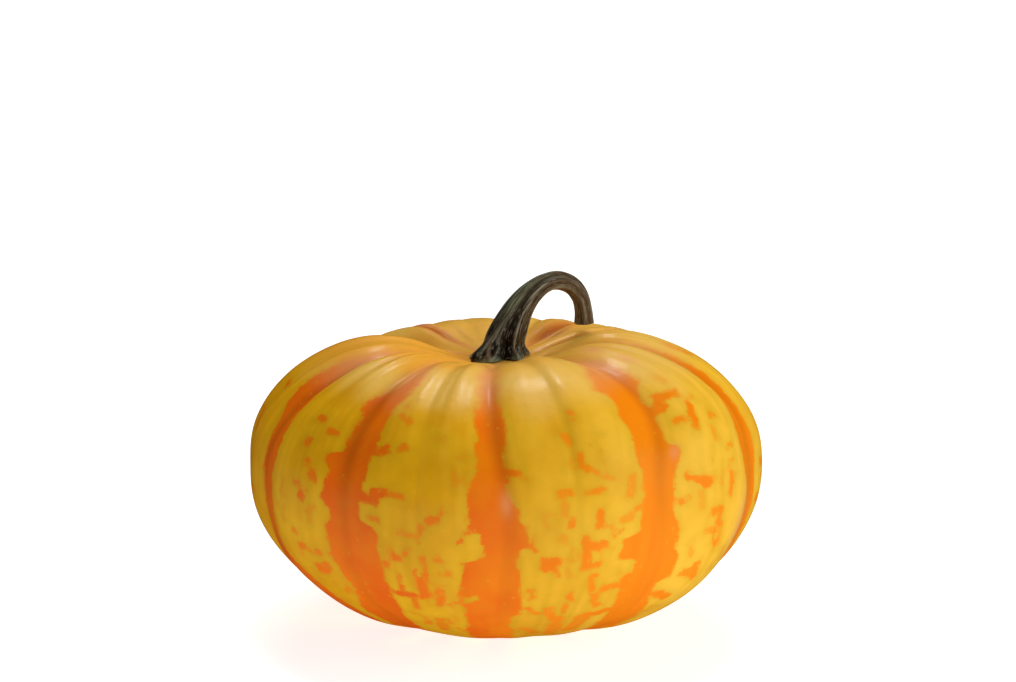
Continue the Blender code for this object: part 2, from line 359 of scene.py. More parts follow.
# Spurs and flecks that show in front: strength, half width in millimetres, then its points
FRONT_FLECKS = (
    (1.0, 1.0, (0.02, 79.7), (0.10, 80.2)), (0.5, 0.6, (0.10, 80.6), (0.14, 82.0)),
    (1.0, 0.5, (-0.20, 96.4), (-0.235, 97.3), (-0.265, 99.8)), (1.0, 0.9, (0.12, 99.6), (0.17, 101.6)),
    (0.8, 0.8, (-0.24, 120.2), (-0.30, 120.5), (-0.33, 121.5)),
    (0.8, 0.9, (0.465, 62.4), (0.472, 64.0)), (0.8, 1.2, (0.39, 69.3), (0.415, 71.8)),
    (0.9, 1.1, (0.47, 76.2), (0.475, 79.0), (0.50, 80.0)), (0.8, 0.6, (0.50, 79.8), (0.57, 81.5)),
    (0.6, 0.6, (0.62, 83.0), (0.68, 83.5)), (0.8, 0.9, (0.34, 86.5), (0.39, 86.0)),
    (0.5, 0.9, (0.36, 88.5), (0.35, 91.5)), (0.9, 0.6, (0.50, 86.6), (0.61, 86.2)),
    (0.6, 1.3, (0.805, 84.2), (0.79, 88.4)), (0.8, 0.9, (0.40, 93.8), (0.395, 95.0)),
    (1.0, 1.0, (0.575, 92.0), (0.575, 96.0)), (0.7, 0.5, (0.575, 96.6), (0.66, 96.3)),
    (0.6, 0.9, (0.73, 95.2), (0.80, 94.0)), (0.8, 0.6, (0.67, 98.8), (0.72, 97.8)),
    (0.8, 0.9, (0.83, 92.4), (0.88, 92.0)), (0.4, 0.8, (0.34, 98.5), (0.34, 100.0)),
    (1.0, 1.2, (0.49, 99.0), (0.49, 107.6)), (1.0, 1.4, (0.49, 101.5), (0.60, 101.5)),
    (1.0, 1.1, (0.50, 107.2), (0.58, 107.2)), (0.7, 0.5, (0.59, 103.0), (0.585, 107.0)),
    (1.0, 1.5, (0.235, 105.2), (0.305, 105.4)), (1.0, 1.3, (0.235, 107.2), (0.28, 107.4)),
    (0.9, 0.8, (0.31, 108.2), (0.33, 110.2)), (0.9, 1.0, (0.565, 111.2), (0.575, 116.0)),
    (0.7, 0.9, (0.175, 115.5), (0.185, 118.0)), (0.9, 1.1, (0.445, 117.6), (0.46, 120.0)),
    (0.8, 0.7, (0.435, 121.0), (0.45, 127.0)), (0.8, 0.8, (0.18, 123.3), (0.25, 126.0)),
    (0.9, 1.3, (0.33, 124.0), (0.37, 128.0), (0.41, 131.5)), (0.8, 1.6, (0.43, 130.0), (0.43, 137.0)),
    (0.8, 2.0, (0.45, 137.0), (0.48, 146.0)), (0.9, 1.2, (0.615, 119.0), (0.63, 121.0), (0.67, 123.6)),
    (0.9, 1.2, (0.67, 116.4), (0.75, 115.6)), (0.8, 1.2, (0.19, 136.0), (0.24, 138.0), (0.30, 141.0)),
    (1.0, 1.6, (0.82, 127.4), (0.66, 129.0), (0.62, 132.0)), (0.8, 2.4, (0.63, 131.0), (0.64, 141.0)),
    (1.0, 1.5, (1.00, 65.0), (1.13, 64.4)), (1.0, 1.2, (1.125, 64.0), (1.12, 60.6)),
    (1.0, 1.3, (1.12, 60.8), (1.20, 61.8), (1.29, 62.8)), (0.9, 1.0, (1.175, 70.4), (1.22, 70.8)),
    (0.5, 0.6, (1.22, 71.0), (1.28, 71.5)), (1.0, 1.4, (1.34, 67.6), (1.325, 70.0), (1.32, 73.6)),
    (0.4, 1.2, (1.29, 55.5), (1.30, 57.0)), (0.4, 1.0, (1.36, 65.5), (1.44, 66.0)),
    (1.0, 1.0, (1.20, 86.2), (1.25, 87.8), (1.38, 89.2)), (1.0, 1.3, (1.32, 89.0), (1.375, 89.0)),
    (0.8, 0.7, (1.14, 93.0), (1.20, 92.4)), (0.9, 1.2, (1.38, 97.8), (1.44, 98.0)),
    (0.9, 0.9, (1.46, 98.5), (1.44, 101.0), (1.41, 104.0), (1.42, 107.0), (1.46, 108.0)),
    (0.9, 0.8, (1.475, 102.5), (1.475, 107.0)), (0.6, 0.9, (1.35, 103.0), (1.37, 103.0)),
    (0.5, 1.0, (1.47, 75.5), (1.475, 79.0)), (0.8, 0.9, (1.50, 72.5), (1.53, 72.3)),
    (0.8, 0.9, (1.58, 82.0), (1.63, 82.2)), (0.9, 1.4, (1.59, 90.2), (1.58, 92.0), (1.56, 94.0)),
    (0.4, 0.8, (1.50, 88.0), (1.47, 91.0)), (0.5, 0.9, (1.56, 87.0), (1.63, 86.0)),
    (0.9, 1.3, (1.27, 115.5), (1.36, 117.0)), (0.9, 1.5, (1.35, 114.0), (1.39, 118.0)),
    (1.0, 1.4, (1.10, 123.2), (1.18, 123.6), (1.26, 125.2)), (0.4, 0.8, (1.24, 106.0), (1.27, 110.0)),
    (0.5, 0.8, (-0.69, 60.0), (-0.67, 61.0)), (0.6, 1.0, (-0.68, 64.2), (-0.62, 66.0)),
    (0.7, 1.2, (-0.63, 75.0), (-0.61, 74.5)), (1.0, 1.2, (-0.82, 77.0), (-0.72, 75.8)),
    (1.0, 1.2, (-0.86, 89.6), (-0.77, 90.0)), (1.0, 1.2, (-0.77, 88.0), (-0.68, 87.6)),
    (0.9, 0.8, (-0.78, 90.0), (-0.75, 91.0)), (0.7, 0.7, (-0.68, 88.0), (-0.59, 88.0)),
    (0.9, 0.9, (-0.43, 94.0), (-0.38, 93.0), (-0.35, 91.5)), (0.8, 0.9, (-0.80, 95.0), (-0.74, 95.2)),
    (0.7, 0.9, (-0.47, 96.0), (-0.475, 98.0)), (0.7, 0.8, (-0.60, 98.3), (-0.50, 98.8)),
    (0.5, 0.6, (-0.495, 99.5), (-0.49, 100.5)), (0.8, 0.9, (-0.58, 103.5), (-0.55, 102.5)),
    (0.9, 1.3, (-0.64, 105.5), (-0.62, 105.5)), (0.7, 1.0, (-0.385, 105.0), (-0.36, 106.0)),
    (0.6, 0.8, (-0.36, 109.5), (-0.33, 109.5)), (0.9, 0.9, (-0.47, 105.0), (-0.46, 112.0)),
    (0.8, 0.7, (-0.52, 109.0), (-0.52, 112.0)), (1.0, 1.7, (-0.50, 112.8), (-0.50, 117.6)),
    (0.9, 0.8, (-0.63, 111.5), (-0.645, 117.0)), (1.0, 1.1, (-0.76, 117.8), (-0.62, 118.6), (-0.50, 118.4)),
    (0.8, 0.9, (-0.58, 119.0), (-0.59, 124.0)), (0.9, 1.3, (-0.39, 115.8), (-0.41, 121.4)),
    (0.5, 1.0, (-0.40, 130.0), (-0.39, 132.5)), (0.6, 1.0, (-0.56, 132.0), (-0.59, 135.0)),
    (0.6, 1.6, (-0.46, 131.0), (-0.50, 139.0)), (0.9, 1.0, (-0.76, 107.6), (-0.70, 108.4)),
    (0.8, 1.1, (-1.45, 70.5), (-1.38, 71.0)), (0.8, 0.8, (-1.24, 73.5), (-1.18, 73.2)),
    (0.8, 1.2, (-1.43, 77.8), (-1.40, 78.0)), (0.8, 1.0, (-1.36, 83.3), (-1.33, 83.5)),
    (0.8, 1.2, (-1.28, 86.6), (-1.25, 86.8)), (0.7, 1.0, (-1.44, 90.0), (-1.40, 90.5)),
    (0.9, 1.3, (-1.36, 92.5), (-1.34, 93.0)), (0.5, 0.8, (-1.30, 97.0), (-1.24, 96.0)),
    (0.6, 0.9, (-1.45, 104.0), (-1.43, 104.0)), (0.8, 1.0, (-1.42, 108.0), (-1.39, 107.5)),
    (0.7, 0.8, (-1.31, 109.5), (-1.25, 108.8)), (0.9, 1.8, (-1.30, 114.5), (-1.23, 114.0)),
    (0.6, 0.8, (-1.17, 122.5), (-1.12, 121.0)), (0.8, 1.4, (2.33, 51.0), (2.34, 57.0)),
    (0.9, 1.1, (2.26, 94.0), (2.35, 94.8)), (0.9, 1.0, (2.28, 98.0), (2.37, 98.8)),
    (0.9, 1.2, (2.20, 104.0), (2.33, 106.5)), (0.9, 1.2, (-2.42, 78.0), (-2.36, 82.0)),
    (0.8, 1.2, (-2.44, 66.0), (-2.38, 67.0)), (0.7, 1.0, (-2.30, 100.5), (-2.24, 100.0)),
)

# Yellow left inside a stripe: half width, then its points
FRONT_HOLES = (
    (0.9, (-0.235, 119.0), (-0.18, 118.4)),
    (0.8, (0.545, 104.6), (0.56, 105.0)),
    (1.1, (1.055, 60.2), (1.07, 60.8)),
)

# Millimetres past which the distance to an edge no longer counts
MARK_REACH = 4.0

# Stripes grown on furrows that don't show: half width in lobes, how far and how often a block
# stands out of an edge, length of a step and of the slope between steps in millimetres
HIDDEN_FURROWS = (3, 4, 5, 6, 7)
GROWN_HALF = (0.08, 0.19)
GROWN_BLOCK = (0.06, 0.12)
GROWN_BLOCK_SHARE = 0.16
GROWN_STEP = (2.0, 8.0)
GROWN_SLOPE = (0.6, 1.6)

# Flecks grown beside the front: how many on a lobe, and the arcs between which they lie. On the
# side lobes those above the belly keep to places past the outline, where none shows in front
SIDE_AND_BACK_LOBES = (2, 3, 4, 5, 6, 7)
BACK_FLECKS = (36, 62.0, 166.0)
PAST_OUTLINE = (2.42, 7.48)
BELLY_ARC = 124.0
FRONT_LOBES = (-2, -1, 0, 1)
BELLY_FLECKS = (11, 138.0, 176.0)
FAINT_FLECKS = (18, 58.0, 150.0)
FAINT_STRENGTH = (0.12, 0.40)
FAINT_WIDTH = 0.7

# How far a fleck reaches: across in lobes, along in millimetres
FLECK_SHAPES = ((0.0, 3.5), (0.07, 0.4), (0.03, 0.8), (0.03, 3.0))
FLECK_STRENGTHS = (0.4, 0.7, 0.9, 1.0)
GROWTH_SEED = 11


def lobe_width(place, arc):
    """Width in millimetres of the lobe at a place on the rind."""
    polar = np.interp(arc, arc_steps, polar_steps)
    lobe = np.floor(place).astype(int)
    span = np.radians(furrow_azimuth(lobe + 1, polar) - furrow_azimuth(lobe, polar))
    return span * meridian(polar)[0] * 1000.0


width = lobe_width(place, arc)


def inside_stripe(rows):
    """How many millimetres each vertex lies inside a stripe's edges, below 0 outside."""
    arcs, left, right = np.array(rows).T
    middle = (left + right).mean() / 2.0
    across = lobes_away(place, middle) + middle
    return np.minimum(across - np.interp(arc, arcs, left), np.interp(arc, arcs, right) - across) * width


def inside_stroke(half_width, points):
    """How many millimetres each vertex lies inside a square-ended stroke, below 0 outside."""
    inside = np.full(len(place), -MARK_REACH)
    for start, end in zip(np.array(points), np.array(points[1:])):
        scale = np.array([lobe_width(*((start + end) / 2.0)), 1.0])
        step = (end - start) * scale
        length = max(math.hypot(*step), 0.01)
        sideways, down = lobes_away(place, start[0]) * scale[0], arc - start[1]
        along = (sideways * step[0] + down * step[1]) / length
        across = np.abs(sideways * step[1] - down * step[0]) / length
        beyond = np.maximum(np.maximum(along - length, -along), 0.0)
        inside = np.maximum(inside, half_width - (beyond ** 4 + across ** 4) ** 0.25)
    return inside


def grown_stripe(furrow, draw):
    """A stripe for a furrow that doesn't show, with edges that step as the front ones do."""
    rows = [(0.0, furrow - 0.04, furrow + 0.04), (34.0, furrow - 0.07, furrow + 0.07)]
    arc, halves = 42.0, draw.uniform(0.09, 0.13, 2)
    while arc < 160.0:
        halves = np.clip(halves + draw.normal(0.0, 0.02, 2), *GROWN_HALF)
        blocks = draw.uniform(*GROWN_BLOCK, 2) * (draw.uniform(0.0, 1.0, 2) < GROWN_BLOCK_SHARE)
        length = draw.uniform(*GROWN_STEP)
        rows.append((arc, furrow - halves[0] - blocks[0], furrow + halves[1] + blocks[1]))
        halves = np.clip(halves + draw.normal(0.0, 0.008, 2), *GROWN_HALF)
        rows.append((arc + length, furrow - halves[0] - blocks[0], furrow + halves[1] + blocks[1]))
        arc += length + draw.uniform(*GROWN_SLOPE)
    rows.append((FULL_ARC, furrow - 0.08, furrow + 0.08))
    return rows


def grown_fleck(lobe, first, last, draw):
    """One fleck of a lobe, between two arcs: a dash, a bar, a block or a bent stroke."""
    place = lobe + draw.uniform(0.16, 0.84)
    arc = first + (last - first) * draw.beta(1.6, 1.4)
    across, along = draw.choice(FLECK_SHAPES)
    across *= draw.choice([-1.0, 1.0]) * draw.uniform(0.6, 1.3)
    along *= draw.uniform(0.6, 1.4)
    points = [(place, arc), (place + across, arc + along)]
    if draw.uniform() < 0.3:
        points.append((points[-1][0] + draw.uniform(0.02, 0.06), points[-1][1] + draw.uniform(-1.0, 1.0)))
    return draw.choice(FLECK_STRENGTHS), draw.uniform(0.5, 1.4), points


orange = np.full(len(place), -MARK_REACH)
strength = np.ones(len(place))
draw = np.random.default_rng(GROWTH_SEED)
stripes = list(FRONT_STRIPES) + [grown_stripe(furrow, draw) for furrow in HIDDEN_FURROWS]
for rows in stripes:
    orange = np.maximum(orange, inside_stripe(rows))
flecks = [(share, half, points) for share, half, *points in FRONT_FLECKS]
for lobe in SIDE_AND_BACK_LOBES:
    count, first, last = BACK_FLECKS
    for _ in range(count):
        share, half, points = grown_fleck(lobe, first, last, draw)
        fleck_place, fleck_arc = points[0]
        if PAST_OUTLINE[0] < fleck_place < PAST_OUTLINE[1] or fleck_arc > BELLY_ARC:
            flecks.append((share, half, points))
for lobe in FRONT_LOBES:
    count, first, last = BELLY_FLECKS
    flecks += [grown_fleck(lobe, first, last, draw) for _ in range(count)]
    count, first, last = FAINT_FLECKS
    for _ in range(count):
        _, half, points = grown_fleck(lobe, first, last, draw)
        flecks.append((draw.uniform(*FAINT_STRENGTH), FAINT_WIDTH * half, points))
for share, half, points in flecks:
    inside = inside_stroke(half, points)
    strength = np.where(inside > orange, share, strength)
    orange = np.maximum(orange, inside)
for half, *points in FRONT_HOLES:
    orange = np.minimum(orange, -inside_stroke(half, points))

# The crown ripens paler than the sides, to an uneven line, and stays honey yellow in its hollow. On the
# left the honey reaches farther out and is stronger, as painted shade of that side, and it also reaches
# farther out at the back left. The stripes fade there too, and the side to the right is the lightest.
PALE_ARCS = (48.0, 64.0)
PALE_WANDER = 3.0
FADE_ARCS = (43.0, 65.0)
FADE_SHIFT = 6.0
HONEY_ARCS = (31.0, 43.0)
SHADED_LEFT_HONEY_SHIFT = 6.0
HONEY_BACK_SHIFT = 16.0
HONEY_ELSEWHERE = 0.45
SUNNY_PLACE = 1.5
SUNNY_POWER = 6

# Parts of the way round: place and half width
FAR_LEFT = (-1.9, 1.5)
BACK_LEFT = (-2.65, 0.55)
FAR_RIGHT = (1.6, 1.1)

# Painted shade darkens the stripes along the bottom of their furrow, most of all on the shoulder and least
# on the sunny side
SHADE_HALF_WIDTH = 2.6
SHADE_ASIDE = 0.8
SHADE_MOST = 1.1
SHADE_SIDE_LOSS = 0.7
SHADE_SIDE_ARCS = (74.0, 106.0)
SHADE_BELLY_LOSS = 0.4
SHADE_BELLY_ARCS = (118.0, 150.0)
SHADE_STARTS = (34.0, 50.0)
SHADE_SUNNY_LOSS = 0.40
SHADE_SPOT_STRENGTH = 1.7


def part_round(middle, half_width):
    """1 on a part of the way round the fruit, 0 beside it."""
    return np.exp(-(lobes_away(place, middle) / half_width) ** 4)


uneven_arc = arc + PALE_WANDER * waves(place, arc, count=24, most_around=30, shortest=25.0, seed=5)
pale = 1.0 - smooth_step(*PALE_ARCS, uneven_arc)
far_left = part_round(*FAR_LEFT)
late = SHADED_LEFT_HONEY_SHIFT * far_left + HONEY_BACK_SHIFT * part_round(*BACK_LEFT)
honey_and_shade = 1.0 - smooth_step(*HONEY_ARCS, uneven_arc - late)
honey_and_shade = honey_and_shade * (HONEY_ELSEWHERE + (1.0 - HONEY_ELSEWHERE) * far_left)
faded = 1.0 - smooth_step(*FADE_ARCS, uneven_arc + FADE_SHIFT * part_round(*FAR_RIGHT))
streaks = waves(place, arc, count=60, most_around=150, shortest=45.0, seed=8)
sunny = (0.5 + 0.5 * np.cos(2.0 * np.pi * lobes_away(place, SUNNY_PLACE) / len(LOBES))) ** SUNNY_POWER
furrow_share = np.exp(-((lobes_away(place, np.round(place)) * width - SHADE_ASIDE) / SHADE_HALF_WIDTH) ** 2)
furrow_shade = SHADE_MOST - SHADE_SIDE_LOSS * smooth_step(*SHADE_SIDE_ARCS, arc)
furrow_shade -= SHADE_BELLY_LOSS * smooth_step(*SHADE_BELLY_ARCS, arc)
furrow_shade *= furrow_share * smooth_step(*SHADE_STARTS, arc)
furrow_shade *= 1.0 - SHADE_SUNNY_LOSS * sunny
end_radius = meridian(np.interp(arc, arc_steps, polar_steps))[0]
scar = (arc > BLOSSOM_ARC) * (1.0 - smooth_step(0.2 * SCAR_RADIUS, 1.3 * SCAR_RADIUS, end_radius))

# Small marks, as rows of place, arc, half width and half length in millimetres: rubbed places that dried
# paler, with painted glints and a painted pink reflection low on the right; painted shade on furrows by the
# stem, with the stem's shadow on the one at the back right; and bruises
RUBS_AND_GLINTS = (
    (0.0, 89.0, 1.6, 3.2), (-0.06, 44.0, 1.8, 9.0), (1.08, 40.0, 3.0, 4.0),
    (1.30, 44.0, 2.2, 3.2), (1.12, 79.0, 1.6, 2.0), (3.7, 88.0, 1.6, 4.0), (5.4, 112.0, 2.0, 3.0),
    (1.80, 108.0, 6.0, 9.0), (-0.86, 46.0, 3.0, 7.0), (1.33, 33.0, 2.6, 4.0),
)
SHADED_FURROWS = (
    (3.97, 30.0, 5.0, 15.0), (3.05, 26.0, 1.5, 9.0), (6.02, 30.0, 1.6, 10.0), (7.02, 31.0, 1.6, 10.0),
)
BRUISES = (
    (-0.495, 90.5, 0.6, 0.7), (0.62, 70.5, 1.6, 1.2), (0.60, 75.5, 0.9, 0.9), (0.54, 73.5, 0.5, 0.5),
    (-0.62, 57.0, 0.5, 1.2), (2.6, 84.0, 0.7, 0.7), (4.3, 96.0, 1.3, 0.8), (6.6, 74.0, 0.7, 1.0),
)


def spots(rows):
    """Soft round spots, 1 in the middle."""
    total = np.zeros(len(place))
    for spot_place, spot_arc, half_across, half_along in rows:
        across = lobes_away(place, spot_place) * width / half_across
        total = np.maximum(total, np.exp(-across ** 2 - ((arc - spot_arc) / half_along) ** 2))
    return total


def keep(obj, **fields):
    """Keep numbers or vectors with the vertices of a mesh, for its material to read."""
    for name, values in fields.items():
        vector = values.ndim == 2
        attribute = obj.data.attributes.new(name, "FLOAT_VECTOR" if vector else "FLOAT", "POINT")
        attribute.data.foreach_set("vector" if vector else "value", values.astype(np.float32).ravel())


CREASE_SHADE = 3000.0
rind_marks = {
    "orange": np.clip(orange, -MARK_REACH, MARK_REACH),
    "strength": strength,
    "pale": pale,
    "faded": faded,
    "sunny": sunny,
    "honey_and_shade": honey_and_shade,
    "furrow_shade": np.maximum(furrow_shade, SHADE_SPOT_STRENGTH * spots(SHADED_FURROWS)),
    "painted_crease_shade": crease_field(place, end_radius, arc) * CREASE_SHADE,
    "rub_and_glint": spots(RUBS_AND_GLINTS),
    "bruise": spots(BRUISES),
    "scar": scar,
    "streaks": streaks,
}
keep(fruit, **rind_marks)

# Waxed squash rind. The living shell is hard and closed, with a thin natural wax that gives a
# soft gloss over strong colour: deep yellow sides, a cream crown, and orange that turns to
# salmon where the stripes run up into the cream.
YELLOW = "#e8ae10"
GOLD = "#dd9c06"
LEMON = "#f3bf3c"
OLIVE = "#c2960f"
CREAM = "#ecbd56"
HONEY_AND_SHADE = "#eb9c1e"
ORANGE = "#f28609"
DEEP_ORANGE = "#ea6606"
SALMON = "#e89758"
FURROW_SHADE_BROWN = "#b4540a"
SCAR_TAN = "#a8783c"
SCAR_CORE = "#4e3218"
RUB_AND_GLINT_PINK = "#ec9f66"
BRUISE = "#b37f10"

# Real sizes in metres: the blocks of cells that turn orange together and the grain of their
# edges, clouds of a riper yellow, mottling, pale specks and shallow dents. The pores are about
# 0.3 mm on a real rind, too fine to show here, so they are drawn 1.2 mm wide
COLOUR_BLOCK = 0.0020
EDGE_GRAIN = 0.0014
CLOUD = 0.016
MOTTLE = 0.0032
SPECK_GAP = 0.0040
DENT = 0.0050
PORE = 0.0012

# How many millimetres the blocks and the grain move an edge, and how soft the edge is there
BLOCK_SHIFT = 1.4
GRAIN_SHIFT = 1.0
EDGE_SOFTNESS = 0.65
PALE_SOFTNESS = 2.0


def colour(code):
    """An sRGB hex code as the linear colour that a shader takes."""
    shares = [int(code[start:start + 2], 16) / 255.0 for start in (1, 3, 5)]
    linear = [s / 12.92 if s <= 0.04045 else ((s + 0.055) / 1.055) ** 2.4 for s in shares]
    return (*linear, 1.0)


def add_node(tree, kind, inputs=None, **settings):
    """Add a node, make its settings, and set or link its inputs."""
    made = tree.nodes.new(kind)
    for name, value in settings.items():
        setattr(made, name, value)
    for socket, value in (inputs or {}).items():
        if isinstance(value, bpy.types.NodeSocket):
            tree.links.new(value, made.inputs[socket])
        else:
            made.inputs[socket].default_value = value
    return made


rind = bpy.data.materials.new("waxed_squash_rind")
rind.use_nodes = True
tree = rind.node_tree
shader = tree.nodes["Principled BSDF"]
places = add_node(tree, "ShaderNodeTexCoord").outputs["Object"]
marks = {
    name: add_node(tree, "ShaderNodeAttribute", attribute_name=name).outputs["Fac"]
    for name in rind_marks
}

# The edges of the orange, shifted block by block
blocks = add_node(
    tree, "ShaderNodeTexVoronoi", {"Vector": places, "Scale": 1.0 / COLOUR_BLOCK}, distance="CHEBYCHEV"
)
grain = add_node(tree, "ShaderNodeTexNoise", {"Vector": places, "Scale": 1.0 / EDGE_GRAIN, "Detail": 1.0})
stepped = add_node(
    tree,
    "ShaderNodeMath",
    {0: blocks.outputs["Color"], 1: BLOCK_SHIFT, 2: -BLOCK_SHIFT / 2.0},
    operation="MULTIPLY_ADD",
)
ragged = add_node(
    tree,
    "ShaderNodeMath",
    {0: grain.outputs["Fac"], 1: GRAIN_SHIFT, 2: -GRAIN_SHIFT / 2.0},
    operation="MULTIPLY_ADD",
)
wander = add_node(tree, "ShaderNodeMath", {0: stepped.outputs[0], 1: ragged.outputs[0]}, operation="ADD")
soft = add_node(
    tree, "ShaderNodeMath", {0: marks["pale"], 1: PALE_SOFTNESS, 2: EDGE_SOFTNESS}, operation="MULTIPLY_ADD"
)
moved = add_node(tree, "ShaderNodeMath", {0: marks["orange"], 1: wander.outputs[0]}, operation="ADD")
eased = add_node(tree, "ShaderNodeMath", {0: moved.outputs[0], 1: soft.outputs[0]}, operation="DIVIDE")
cover = add_node(
    tree,
    "ShaderNodeMapRange",
    {"Value": eased.outputs[0], "From Min": -1.0, "From Max": 1.0, "To Max": marks["strength"]},
    interpolation_type="SMOOTHSTEP",
)

# Clouds of a riper yellow, which the sunny side has fewer of, and the patterns of the small marks
clouds = add_node(tree, "ShaderNodeTexNoise", {"Vector": places, "Scale": 1.0 / CLOUD, "Detail": 3.0})
cloud = add_node(
    tree, "ShaderNodeMapRange", {"Value": clouds.outputs["Fac"], "From Min": 0.38, "From Max": 0.66}
)
clear = add_node(tree, "ShaderNodeMath", {0: cloud.outputs[0], 1: -0.35, 2: 1.0}, operation="MULTIPLY_ADD")
sunlit = add_node(tree, "ShaderNodeMath", {0: clear.outputs[0], 1: marks["sunny"]}, operation="MULTIPLY")
ripe = add_node(
    tree, "ShaderNodeMath", {0: cloud.outputs[0], 1: 0.3, 2: marks["sunny"]}, operation="MULTIPLY_ADD"
)
specks = add_node(tree, "ShaderNodeTexVoronoi", {"Vector": places, "Scale": 1.0 / SPECK_GAP})
mottles = add_node(tree, "ShaderNodeTexNoise", {"Vector": places, "Scale": 1.0 / MOTTLE, "Detail": 3.0})
marks["cover"] = cover.outputs[0]
marks["cloud"] = cloud.outputs[0]
marks["sunlit"] = sunlit.outputs[0]
marks["ripe"] = ripe.outputs[0]
marks["speck"] = specks.outputs["Distance"]
marks["mottle"] = mottles.outputs["Fac"]

# Coats of colour, one over another, on the rind or on the orange that then covers part of it: the
# mark that shares each out, the mark's values where it starts and is full, its most, its colour
painted = {"rind": colour(YELLOW), "orange": colour(DEEP_ORANGE)}
for part, mark, start, full, most, code in (
    ("rind", "cloud", 0.0, 1.0, 1.0, GOLD),
    ("rind", "sunlit", 0.0, 1.0, 1.0, LEMON),
    ("rind", "streaks", 0.0, 2.4, 0.30, OLIVE),
    ("rind", "streaks", 0.0, -2.4, 0.30, LEMON),
    ("rind", "orange", -3.0, 0.0, 0.25, OLIVE),
    ("rind", "pale", 0.0, 1.0, 1.0, CREAM),
    # honey yellow, deepened and widened on the left as painted shade
    ("rind", "honey_and_shade", 0.0, 1.0, 0.68, HONEY_AND_SHADE),
    # painted shade in the creases
    ("rind", "painted_crease_shade", 0.1, 1.0, 0.30, OLIVE),
    ("orange", "ripe", 0.05, 0.6, 1.0, ORANGE),
    ("orange", "streaks", 0.0, 2.4, 0.30, DEEP_ORANGE),
    ("orange", "faded", 0.0, 1.0, 1.0, SALMON),
    ("rind", "cover", 0.0, 1.0, 1.0, "orange"),
    # painted shade along the furrows, and the stem's shadow
    ("rind", "furrow_shade", 0.1, 1.9, 1.0, FURROW_SHADE_BROWN),
    # rubbed paler places, with painted glints and a painted pink reflection
    ("rind", "rub_and_glint", 0.0, 1.0, 0.55, RUB_AND_GLINT_PINK),
    ("rind", "bruise", 0.0, 1.0, 0.28, BRUISE),
    ("rind", "scar", 0.1, 0.4, 1.0, SCAR_TAN),
    ("rind", "scar", 0.75, 1.0, 0.8, SCAR_CORE),
    ("rind", "speck", 0.16, 0.08, 0.18, LEMON),
    ("rind", "mottle", 0.50, 0.72, 0.10, OLIVE),
):
    reach = {"Value": marks[mark], "From Min": start, "From Max": full, "To Max": most}
    share = add_node(tree, "ShaderNodeMapRange", reach).outputs[0]
    over = painted[code] if code in painted else colour(code)
    coat = {0: share, 6: painted[part], 7: over}
    painted[part] = add_node(tree, "ShaderNodeMix", coat, data_type="RGBA").outputs[2]
tree.links.new(painted["rind"], shader.inputs["Base Color"])
shader.inputs["Roughness"].default_value = 0.265
shader.inputs["IOR"].default_value = 1.45
shader.inputs["Specular IOR Level"].default_value = 0.24
pores = add_node(tree, "ShaderNodeTexNoise", {"Vector": places, "Scale": 1.0 / PORE, "Detail": 3.0})
dents = add_node(tree, "ShaderNodeTexNoise", {"Vector": places, "Scale": 1.0 / DENT, "Detail": 1.0})
dented = add_node(
    tree, "ShaderNodeBump", {"Height": dents.outputs["Fac"], "Strength": 0.3, "Distance": 0.0004}
)
bump = add_node(
    tree,
    "ShaderNodeBump",
    {"Height": pores.outputs["Fac"], "Strength": 0.25, "Distance": 0.0002, "Normal": dented.outputs[0]},
)
tree.links.new(bump.outputs[0], shader.inputs["Normal"])
fruit.data.materials.append(rind)
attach(fruit, "root")
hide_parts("fruit")

# Stem. The stalk that the fruit hung from, dried hard on the vine: a six-ridged woody stalk
# that flares into toes where it grips the fruit and hooks over to the end where it was cut.

# The middle line, from the foot to the cut end: reach towards the hook, height, radius
STEM_STATIONS = (
    (0.0005, 0.0000, 0.0081),
    (0.0012, 0.0012, 0.0072),
    (0.0020, 0.0030, 0.0063),
    (0.0029, 0.0058, 0.0056),
    (0.0051, 0.0102, 0.0047),
    (0.0076, 0.0140, 0.0040),
    (0.0109, 0.0173, 0.0034),
    (0.0154, 0.0199, 0.0029),
    (0.0203, 0.0205, 0.0027),
    (0.0249, 0.0187, 0.0026),
    (0.0281, 0.0150, 0.0026),
    (0.0293, 0.0108, 0.0026),
    (0.0296, 0.0068, 0.0029),
)
HOOK_AZIMUTH = 120.0
LEAN_STARTS = (0.08, 0.5)
STEM_RIDGES = 6
GROOVE_START = -103.0
GROOVE_SHARES = (1.7, 0.8, 1.0, 0.7, 1.0, 0.9)
RIDGE_DEPTH_FOOT = 0.20
RIDGE_DEPTH_TIP = 0.12
RIDGE_STAND = 0.3
RIDGE_TWIST = 60.0
STRANDS = (13, 19, 27)
STRAND_DEPTH = 0.020
STRAND_SEED = 5
STEM_SEGMENTS = 45
STEM_RINGS = 65
STEM_CUTS = 3
END_RINGS = 3

# The foot: how far the toes reach, the tuck at the skin and the waist above, as shares of radius
FOOT_ENDS = (0.04, 0.17)
TOE_REACH = 0.10
TUCK = 0.07
TUCK_ENDS = (0.0, 0.03)
WAIST = 0.05
WAIST_PROGRESS = 0.20
WAIST_HALF_LENGTH = 0.05
LONG_TOE_AZIMUTH = -38.0
LONG_TOE_WIDTH = 0.34
LONG_TOE_ENDS = (0.20, 0.34)
LONG_TOE_SINK = 0.0013
SINK_STARTS = (0.007, 0.012)
HOLLOW_STEPS = 1000

# Outline of the long toe: height and radius
LONG_TOE = (
    (0.0000, 0.0116), (0.0006, 0.0127), (0.0014, 0.0131), (0.0022, 0.0127), (0.0030, 0.0114),
    (0.0040, 0.0096), (0.0058, 0.0079), (0.0085, 0.0062), (0.0115, 0.0050),
)
PITH_DEPTH = 0.0007
PITH_EDGE = (0.35, 0.8)


